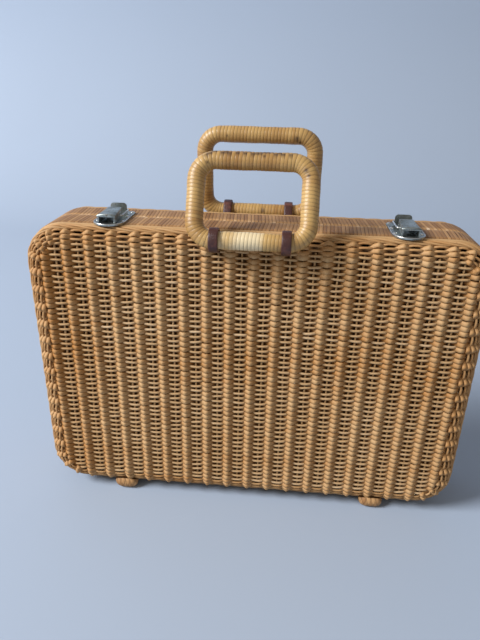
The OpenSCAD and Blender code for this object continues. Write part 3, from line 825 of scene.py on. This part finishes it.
# Hoop: the profile carried round the perimeter, its rows slanted with the wraps, each wrap a low arch
def rimPiece(side):
    bag = Bag()
    u, v = np.array(rim["profile"]).T
    samples = rim["wraps"] * rim["perWrap"]
    i = np.arange(samples)[:, None]
    slant = rim["slope"] * (v[None] - rim["slopeFrom"])
    t = (i / samples - slant / rim["wraps"]) * girth
    cx, ch, nx, nh = aroundCase(t)
    wrap = i // rim["perWrap"] + 0 * v[None].astype(int)
    part = np.mod(i / rim["perWrap"], 1.0) + 0 * v[None]
    arch = wrapArch(part, rim["archPower"])
    reach = case["spineRadius"] + u[None] - np.array(rim["outward"]) * rim["relief"] * (1 - arch)
    verts = np.stack([cx + reach * nx, ch + reach * nh, np.broadcast_to(v, t.shape)], axis=-1)
    verts = verts.reshape(-1, 3)
    quads = gridQuads(samples, len(u), True, True)
    tones = np.clip(rng.normal(*rim["tone"], rim["wraps"]), *rim["toneLimits"])
    tone = tones[wrap] + rim["seamPale"] * fade(v, *rim["seamFade"])[None]
    grooves = rng.uniform(*rim["grooveSpread"], rim["wraps"])
    # Painted shade in the grooves between wraps, stronger in some
    deep = rim["grooveShade"] * (1 - arch) * grooves[wrap]
    uv = stripUv(v * mm, part)
    nick = np.isin(wrap, rim["nicks"][side]) * (1 - arch)
    nick = nick * ease(v, *rim["nickRise"]) * fade(v, *rim["nickFade"])
    bag.add(stand(verts, side), quads, uv, tone, deep, nick)
    halfPiece(side, "Rim", bag, canes["rimCane"], "rim")


for side in halves:
    rimPiece(side)

# Handles: a cane loop wound with strip, hand made, so the rear one is larger
handle = {
    "middle": -3.0,
    "width": {"front": 94.5, "rear": 103.5},
    "height": {"front": 66.0, "rear": 73.5},
    "corner": 16.0,
    "radius": 7.75,
    "axisOut": 53.5,
    "axisUp": 280.0,
    "lean": {"front": 25.0, "rear": 6.0},
    "strip": 3.1,
    "perWrap": 6,
    "sides": 20,
    "relief": 0.3,
    "archPower": 6,
    "waves": [(0.10, 7, 1.0), (0.08, 17, 0.0)],
    "tone": 0.56,
    "toneWaves": {"front": [(0.12, 3, -1.0), (0.09, 8, 2.0)], "rear": [(0.12, 3, 1.0), (0.09, 8, 2.0)]},
    "turnSpread": 0.09,
    "turnLimits": (-0.25, 0.3),
    "turnLength": 0.045,
    "slack": (0.6, 1.15),
    "grooveShade": 0.6,
    "topBand": (6, 1),
    "rubbedBar": 0.75,
    "barFade": (8, 8),
    "barRise": (-40, -24),
    "barEnd": (26, 24),
    "rubbedSide": 0.3,
    "sideRise": (38, 46),
    "sideFade": (46, 12),
    "nick": 0.9,
    "nickAround": (0.33, 0.46),
    "nickWide": 0.05,
    "nickChance": (0.15, 0.6),
    "nickMiddle": -4,
    "nickFade": (40, 8),
    "soil": 0.35,
    "soilWide": 0.13,
    "knot": 0.95,
    "knotFacing": (0.0, 0.5),
    "knots": {"front": [(42.0, 58.0, 2.0), (44.5, 54.0, 1.3), (-38.0, 62.0, 1.0), (8.0, 68.5, 1.2)],
              "rear": [(34.0, 72.5, 2.2), (37.0, 69.0, 1.4), (5.0, 3.2, 1.8), (-30.0, 73.0, 1.0)]},
}


# Loop: the rounded rectangle walked from its lower left, so mirrored; s is the share of its length
def handleLoop(name, s):
    w = handle["width"][name] / 2 - handle["corner"]
    h = handle["height"][name] / 2 - handle["corner"]
    sizes = (w, h, handle["corner"] * math.pi / 2)
    whole = walkLoop(0.0, *sizes)[3]
    cx, cy, heading, _ = walkLoop(np.mod(s, 1.0) * whole, *sizes)
    a = -heading
    middle = handle["height"][name] / 2
    return cx + handle["corner"] * np.cos(a), handle["corner"] * np.sin(a) - cy + middle, a, whole


# Winding: rows of the grid follow the strip's helix, so each turn of the strip is a flat arch between two
# grooves; tone for each turn, pale where hands rub, dark in nicks and knots
def handlePiece(name, side):
    bag = Bag()
    wraps = round(handleLoop(name, np.zeros(1))[3] / handle["strip"])
    rows = wraps * handle["perWrap"]
    around = (np.arange(handle["sides"]) / handle["sides"])[None]
    i = np.arange(rows)[:, None]
    share = i / rows - around / wraps
    x, up, a, _ = handleLoop(name, share)
    lean = math.radians(handle["lean"][name])
    rise = np.array([0.0, -side * math.sin(lean), math.cos(lean)])
    sideways = np.cross(rise, across)
    part = np.mod(i / handle["perWrap"], 1.0) + 0 * around
    arch = wrapArch(part, handle["archPower"])
    turnOf = np.mod(i // handle["perWrap"], wraps)
    turnTone = np.clip(rng.normal(0.0, handle["turnSpread"], wraps), *handle["turnLimits"])[turnOf]
    slack = rng.uniform(*handle["slack"], wraps)[turnOf]
    ring = np.pi + 2 * np.pi * around
    radius = handle["radius"] - handle["relief"] * slack * (1 - arch)
    for size, times, shift in handle["waves"]:
        radius = radius - size * (1 + np.sin(2 * np.pi * times * share + shift))
    normal = np.cos(a)[..., None] * across + np.sin(a)[..., None] * rise
    base = np.array([handle["middle"], side * handle["axisOut"], handle["axisUp"]])
    centre = base + x[..., None] * across + up[..., None] * rise
    away = np.cos(ring)[..., None] * normal + np.sin(ring)[..., None] * sideways
    verts = centre + radius[..., None] * away
    quads = gridQuads(rows, handle["sides"], True, True, handle["perWrap"])
    waves = handle["toneWaves"][name]
    slow = sum(size * np.sin(2 * np.pi * times * share + shift) for size, times, shift in waves)
    tone = handle["tone"] + turnTone + slow
    high = ease(up, *(handle["height"][name] - below for below in handle["topBand"]))
    if name == "front":
        tone = tone + (handle["rubbedBar"] * fade(up, *handle["barFade"])
                       * ease(x, *handle["barRise"]) * fade(x, *handle["barEnd"]))
        tone = tone + handle["rubbedSide"] * ease(x, *handle["sideRise"]) * fade(up, *handle["sideFade"])
        chance = rng.uniform(0, 1, wraps)[turnOf]
        off = around - rng.uniform(*handle["nickAround"], wraps)[turnOf]
        nick = np.exp(-(off / handle["nickWide"]) ** 2)
        mark = (handle["nick"] * nick * high * ease(chance, *handle["nickChance"])
                * fade(np.abs(x - handle["nickMiddle"]), *handle["nickFade"]))
    else:
        outer = np.exp(-((around - 0.5) / handle["soilWide"]) ** 2)
        mark = handle["soil"] * outer * high * (1 - arch)
    for kx, ku, size in handle["knots"][name]:
        reach = radius * np.cos(ring)
        near = np.hypot(x + reach * np.cos(a) - kx, up + reach * np.sin(a) - ku)
        facing = ease(-np.sin(ring), *handle["knotFacing"])
        mark = mark + handle["knot"] * np.exp(-(near / size) ** 2) * facing
    uv = stripUv(around * handle["turnLength"], part)
    # Painted shade in the grooves between turns of the strip
    deep = (1 - arch) * handle["grooveShade"]
    bag.add(verts.reshape(-1, 3), quads, uv, tone, deep, np.clip(mark, 0, 1))
    node = name + "_handle"
    makePiece(name + "Handle", bag, canes["handleCane"], node, (node,))


for side, name in halves.items():
    handlePiece(name, side)

# Straps: leather loops round the lower bars, passed through the weave
strap = {
    "places": {"left": -32.75, "right": 26.75},
    "barRadius": 9.35,
    "tailOut": 35.2,
    "tailUp": 267.0,
    "tailRadius": 2.5,
    "width": 8.0,
    "thick": 2.0,
    "barPoints": 34,
    "tailPoints": 16,
    "square": 0.5,
    "rubFrom": 0.75,
    "rub": 1.6,
    "runPoints": 8,
    "sides": 16,
}


# Loop: the belt line round two circles; section: a rounded rectangle as a fourth-power oval
def strapPiece(hand, side):
    bag = Bag()
    bar = np.array([handle["axisOut"], handle["axisUp"]])
    tail = np.array([strap["tailOut"], strap["tailUp"]])
    far = math.hypot(*(tail - bar))
    way = math.atan2(*(tail - bar)[::-1])
    spread = math.acos((strap["barRadius"] - strap["tailRadius"]) / far)
    big = np.linspace(way + spread, way + 2 * np.pi - spread, strap["barPoints"])
    small = np.linspace(way - spread, way + spread, strap["tailPoints"])
    run = np.linspace(0, 1, strap["runPoints"] + 2)[1:-1, None]
    ring = [np.stack([np.cos(a), np.sin(a)], 1) for a in (big, small)]
    bigPath = bar + strap["barRadius"] * ring[0]
    smallPath = tail + strap["tailRadius"] * ring[1]
    there = bigPath[-1] + (smallPath[0] - bigPath[-1]) * run
    back = smallPath[-1] + (bigPath[0] - smallPath[-1]) * run
    flat = np.concatenate([bigPath, there, smallPath, back])
    along = [np.repeat(ends, strap["runPoints"], 0) for ends in (ring[0][-1:], ring[0][:1])]
    facing = np.concatenate([ring[0], along[0], ring[1], along[1]])
    x = strap["places"][hand]
    path = np.stack([np.full(len(flat), x), side * flat[:, 0], flat[:, 1]], 1)
    normal = np.stack([np.zeros(len(flat)), side * facing[:, 0], facing[:, 1]], 1)
    sides = strap["sides"]
    a = np.arange(sides) * 2 * np.pi / sides
    c = np.sign(np.cos(a)) * np.abs(np.cos(a)) ** strap["square"] * strap["thick"] / 2
    b = np.sign(np.sin(a)) * np.abs(np.sin(a)) ** strap["square"] * strap["width"] / 2
    verts = path[:, None] + c[:, None] * normal[:, None] + b[:, None] * across
    quads = gridQuads(len(flat), sides, True, True)
    uv = np.zeros((len(flat) * sides, 2))
    rub = np.clip(np.abs(b) / strap["width"] * 2 - strap["rubFrom"], 0, 1) * strap["rub"]
    bag.add(verts.reshape(-1, 3), quads, uv, 0.5, 0.0, np.tile(rub, len(flat)))
    halfPiece(side, hand.capitalize() + "Strap", bag, strapLeather, hand + "_strap")


for side in halves:
    for hand in hands:
        strapPiece(hand, side)

# Feet: small beans wound with cane, worn flat underneath
foot = {
    "side": 128.0,
    "out": 36.0,
    "up": 7.0,
    "length": 24.0,
    "radius": 8.0,
    "wraps": 5,
    "turns": 3,
    "turnLength": 0.008,
    "swellIn": 3.2,
    "swellOut": 2.2,
    "least": 0.02,
    "relief": 0.6,
    "archPower": 4,
    "seat": 13.6,
    "points": 66,
    "sides": 28,
    "tone": (0.45, 0.2),
    "tones": 12,
}


# Bean: circles along its length, smaller towards the ends as an oval, two sets of strips winding
# opposite ways over and under each other, pressed flat on the floor and hollowed where it meets the case
def footPiece(hand, side):
    bag = Bag()
    points = foot["points"]
    sides = foot["sides"]
    s = np.linspace(-1, 1, points)
    a = np.pi + np.arange(sides) * 2 * np.pi / sides
    along = foot["wraps"] * (s[:, None] + 1) / 2
    one = along + foot["turns"] * a[None] / (2 * np.pi)
    two = along - foot["turns"] * a[None] / (2 * np.pi)
    over = np.mod(np.floor(one) + np.floor(two), 2) < 1
    wrap = np.where(over, one, two)
    part = np.mod(wrap, 1.0)
    arch = wrapArch(part, foot["archPower"])
    swell = np.clip(1 - np.abs(s) ** foot["swellIn"], 0, 1) ** (1 / foot["swellOut"])
    r = np.maximum(foot["radius"] * swell[:, None] - foot["relief"] * (1 - arch), foot["least"])
    x = hands[hand] * foot["side"] + s[:, None] * foot["length"] / 2 + 0 * r
    out = foot["out"] + r * np.sin(a)
    up = np.maximum(foot["up"] + r * np.cos(a), 0.0)
    low = case["midHeight"] - case["spineHalfHeight"]
    do = out - case["spineOut"]
    du = up - low
    far = np.maximum(np.hypot(do, du), 0.01)
    push = np.maximum(foot["seat"] / far, 1.0)
    verts = np.stack([x, side * (case["spineOut"] + do * push), low + du * push], axis=-1).reshape(-1, 3)
    quads = np.concatenate([gridQuads(points, sides, False, True), lidQuads(points, sides)])
    tones = np.clip(rng.normal(*foot["tone"], foot["tones"]), 0.0, 1.0)
    tone = tones[np.mod(np.floor(wrap), foot["tones"]).astype(int)]
    uv = stripUv(a * foot["turnLength"], part)
    # Painted shade in the grooves between strips
    bag.add(verts, quads, uv, tone, 1 - arch)
    halfPiece(side, hand.capitalize() + "Foot", bag, canes["footCane"], hand + "_foot")


for side in halves:
    for hand in hands:
        footPiece(hand, side)

# Metal fittings keep their solids and get the aged finishes
fittings = {
    "agedSteel": ["latch_base", "latch_lever", "latch_keeper", "hinge_front_leaf", "hinge_rear_leaf"],
    "wornSteel": ["latch_rivets", "latch_pin", "latch_loop", "keeper_rivets", "hinge_front_rivets",
                  "hinge_rear_rivets", "hinge_pin"],
}
for finish, nodes in fittings.items():
    for hand in hands:
        for node in nodes:
            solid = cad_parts[hand + "_" + node]
            for slot in solid.material_slots:
                slot.material = metals[finish]
print("fittings finished")

# Pressed details of the latches: a rolled bead along the base plate's edge and a crowned top on the lever
trim = {
    "side": 129.0,
    "up": 283.2,
    "sheet": 1.2,
    "beadHalf": 13.5,
    "beadBack": -1.8,
    "beadTurn": -24.5,
    "beadRadius": 0.5,
    "beadLift": 0.1,
    "leverFront": -34.6,
    "leverBack": -7.0,
    "leverHalf": (7.9, 6.2),
    "leverTop": (6.75, 8.2),
    "crown": (1.25, 0.35),
    "lip": 0.22,
    "lipWide": 0.5,
    "lipTall": 0.35,
    "under": 0.3,
    "beadRun": 7,
    "beadArc": 33,
    "beadSides": 8,
    "crownRows": 14,
    "crownSides": 24,
}


# Value between the two ends of a pair by the share f
def partWay(pair, f):
    return pair[0] + (pair[1] - pair[0]) * f


# Bead: a tube along the sides of the plate and round its half-circle front
def beadPiece(hand):
    bag = Bag()
    half = trim["beadHalf"]
    count = trim["beadRun"]
    run = np.linspace(trim["beadBack"], trim["beadTurn"], count + 1)[:-1]
    a = np.radians(np.linspace(180, 360, trim["beadArc"]))
    x = np.concatenate([np.full(count, -half), half * np.cos(a), np.full(count, half)])
    y = np.concatenate([run, trim["beadTurn"] + half * np.sin(a), run[::-1]])
    z = np.full(len(x), trim["up"] + trim["sheet"] + trim["beadLift"])
    path = np.stack([x + hands[hand] * trim["side"], y, z], axis=1)[None]
    thin = trim["beadRadius"]
    verts, quads, uv = tubeGrid(path, upward, thin, thin, trim["beadSides"])
    bag.add(verts, quads, uv)
    makePiece(hand + "LatchBead", bag, metals["wornSteel"], "front_half")


# Crown: sections across the lever, half ovals above its top, higher towards the lip
def crownPiece(hand):
    bag = Bag()
    rows = trim["crownRows"]
    sides = trim["crownSides"]
    f = np.linspace(0, 1, rows)[:, None]
    a = np.pi / 2 - np.arange(sides)[None] * 2 * np.pi / sides
    lip = 1 - ease(f, 0.0, trim["lip"])
    half = partWay(trim["leverHalf"], f) + trim["lipWide"] * lip
    top = partWay(trim["leverTop"], f)
    tall = partWay(trim["crown"], f) + trim["lipTall"] * lip
    tall = np.where(np.sin(a) > 0, tall, trim["under"])
    x = half * np.cos(a) + hands[hand] * trim["side"]
    y = partWay((trim["leverFront"], trim["leverBack"]), f) + 0 * a
    z = trim["up"] + trim["sheet"] + top + tall * np.sin(a)
    verts = np.stack([x, y, z], axis=-1).reshape(-1, 3)
    quads = np.concatenate([gridQuads(rows, sides, False, True), lidQuads(rows, sides)])
    bag.add(verts, quads, np.zeros((len(verts), 2)))
    makePiece(hand + "LeverCrown", bag, metals["agedSteel"], hand + "_lever")


for hand in hands:
    beadPiece(hand)
    crownPiece(hand)

# Pale floor that sweeps up behind, plain soft light and the camera
studio = {
    "floor": (0.345, 0.405, 0.50, 1),
    "floorDark": 0.97,
    "floorPatch": 3.0,
    "floorRough": 0.85,
    "floorHalf": 4.0,
    "floorFront": -3.0,
    "wallTop": 3.0,
    "turnStart": 0.9,
    "turnRadius": 0.6,
    "turnPoints": 24,
    "sky": (0.98, 0.93, 0.87, 1),
    "skyStrength": 0.36,
    "lights": [
        {"name": "windowLight", "from": (-3.0, -1.25, 2.4), "size": 1.7, "power": 250.0,
         "colour": (0.95, 0.97, 1.0)},
        {"name": "fillLight", "from": (1.3, -1.2, 0.9), "size": 1.4, "power": 1.5,
         "colour": (0.92, 0.96, 1.0)},
    ],
    "aim": (0.0, 0.0, 0.15),
    "camera": {"place": (0.02583, -0.48864, 0.40852), "yaw": -4.673, "pitch": 24.544, "roll": 1.33,
               "lens": 30.94, "sensor": 36.0, "near": 0.01},
}


# Floor: flat towards the front, then a quarter circle up into a wall
def floorPiece():
    b = np.radians(np.linspace(0, 90, studio["turnPoints"]))
    r = studio["turnRadius"]
    y = np.concatenate([[studio["floorFront"], 0.0], studio["turnStart"] + r * np.sin(b)])
    z = np.concatenate([[0.0, 0.0], r * (1 - np.cos(b))])
    y = np.append(y, y[-1])
    z = np.append(z, studio["wallTop"])
    x = studio["floorHalf"] * np.array([-1, 1])
    verts = np.stack(np.broadcast_arrays(x[None], y[:, None], z[:, None]), axis=-1).reshape(-1, 3)
    mesh = bpy.data.meshes.new("studioFloor")
    mesh.from_pydata(verts.tolist(), [], gridQuads(len(y), 2, False, False).tolist())
    mesh.polygons.foreach_set("use_smooth", np.ones(len(mesh.polygons), bool))
    material, tree, shader = newMaterial("floorPaper")
    own = addNode(tree, "ShaderNodeTexCoord").outputs["Object"]
    noise = addNode(tree, "ShaderNodeTexNoise", {"Vector": own, "Scale": studio["floorPatch"]}).outputs[0]
    low = tuple(studio["floorDark"] * v for v in studio["floor"][:3]) + (1,)
    colour = mixColour(tree, noise, low, studio["floor"])
    tree.links.new(colour, shader.inputs["Base Color"])
    shader.inputs["Roughness"].default_value = studio["floorRough"]
    mesh.materials.append(material)
    floor = bpy.data.objects.new("studioFloor", mesh)
    bpy.context.scene.collection.objects.link(floor)


floorPiece()

world = bpy.data.worlds.new("studioSky")
world.use_nodes = True
world.node_tree.nodes["Background"].inputs[0].default_value = studio["sky"]
world.node_tree.nodes["Background"].inputs[1].default_value = studio["skyStrength"]
bpy.context.scene.world = world

for lamp in studio["lights"]:
    data = bpy.data.lights.new(lamp["name"], "AREA")
    data.shape = "DISK"
    data.size = lamp["size"]
    data.energy = lamp["power"]
    data.color = lamp["colour"]
    light = bpy.data.objects.new(lamp["name"], data)
    aim = Vector(studio["aim"]) - Vector(lamp["from"])
    turned = aim.to_track_quat("-Z", "Y").to_matrix().to_4x4()
    light.matrix_world = Matrix.Translation(lamp["from"]) @ turned
    bpy.context.scene.collection.objects.link(light)


# Camera axes from yaw, pitch and roll: forward first, right kept level, then rolled about forward
def placeCamera(view):
    yaw, pitch, roll = (math.radians(view[k]) for k in ("yaw", "pitch", "roll"))
    ahead = np.array([math.sin(yaw) * math.cos(pitch), math.cos(yaw) * math.cos(pitch), -math.sin(pitch)])
    level = np.array([math.cos(yaw), -math.sin(yaw), 0.0])
    above = np.cross(level, ahead)
    right = math.cos(roll) * level + math.sin(roll) * above
    up = -math.sin(roll) * level + math.cos(roll) * above
    data = bpy.data.cameras.new("photoView")
    data.lens = view["lens"]
    data.sensor_width = view["sensor"]
    data.clip_start = view["near"]
    camera = bpy.data.objects.new("photoView", data)
    rows = np.stack([right, up, -ahead, np.array(view["place"])], axis=1)
    camera.matrix_world = Matrix([*rows.tolist(), [0, 0, 0, 1]])
    bpy.context.scene.collection.objects.link(camera)
    bpy.context.scene.camera = camera


placeCamera(studio["camera"])
bpy.context.scene.view_settings.view_transform = "Standard"
print("studio ready")
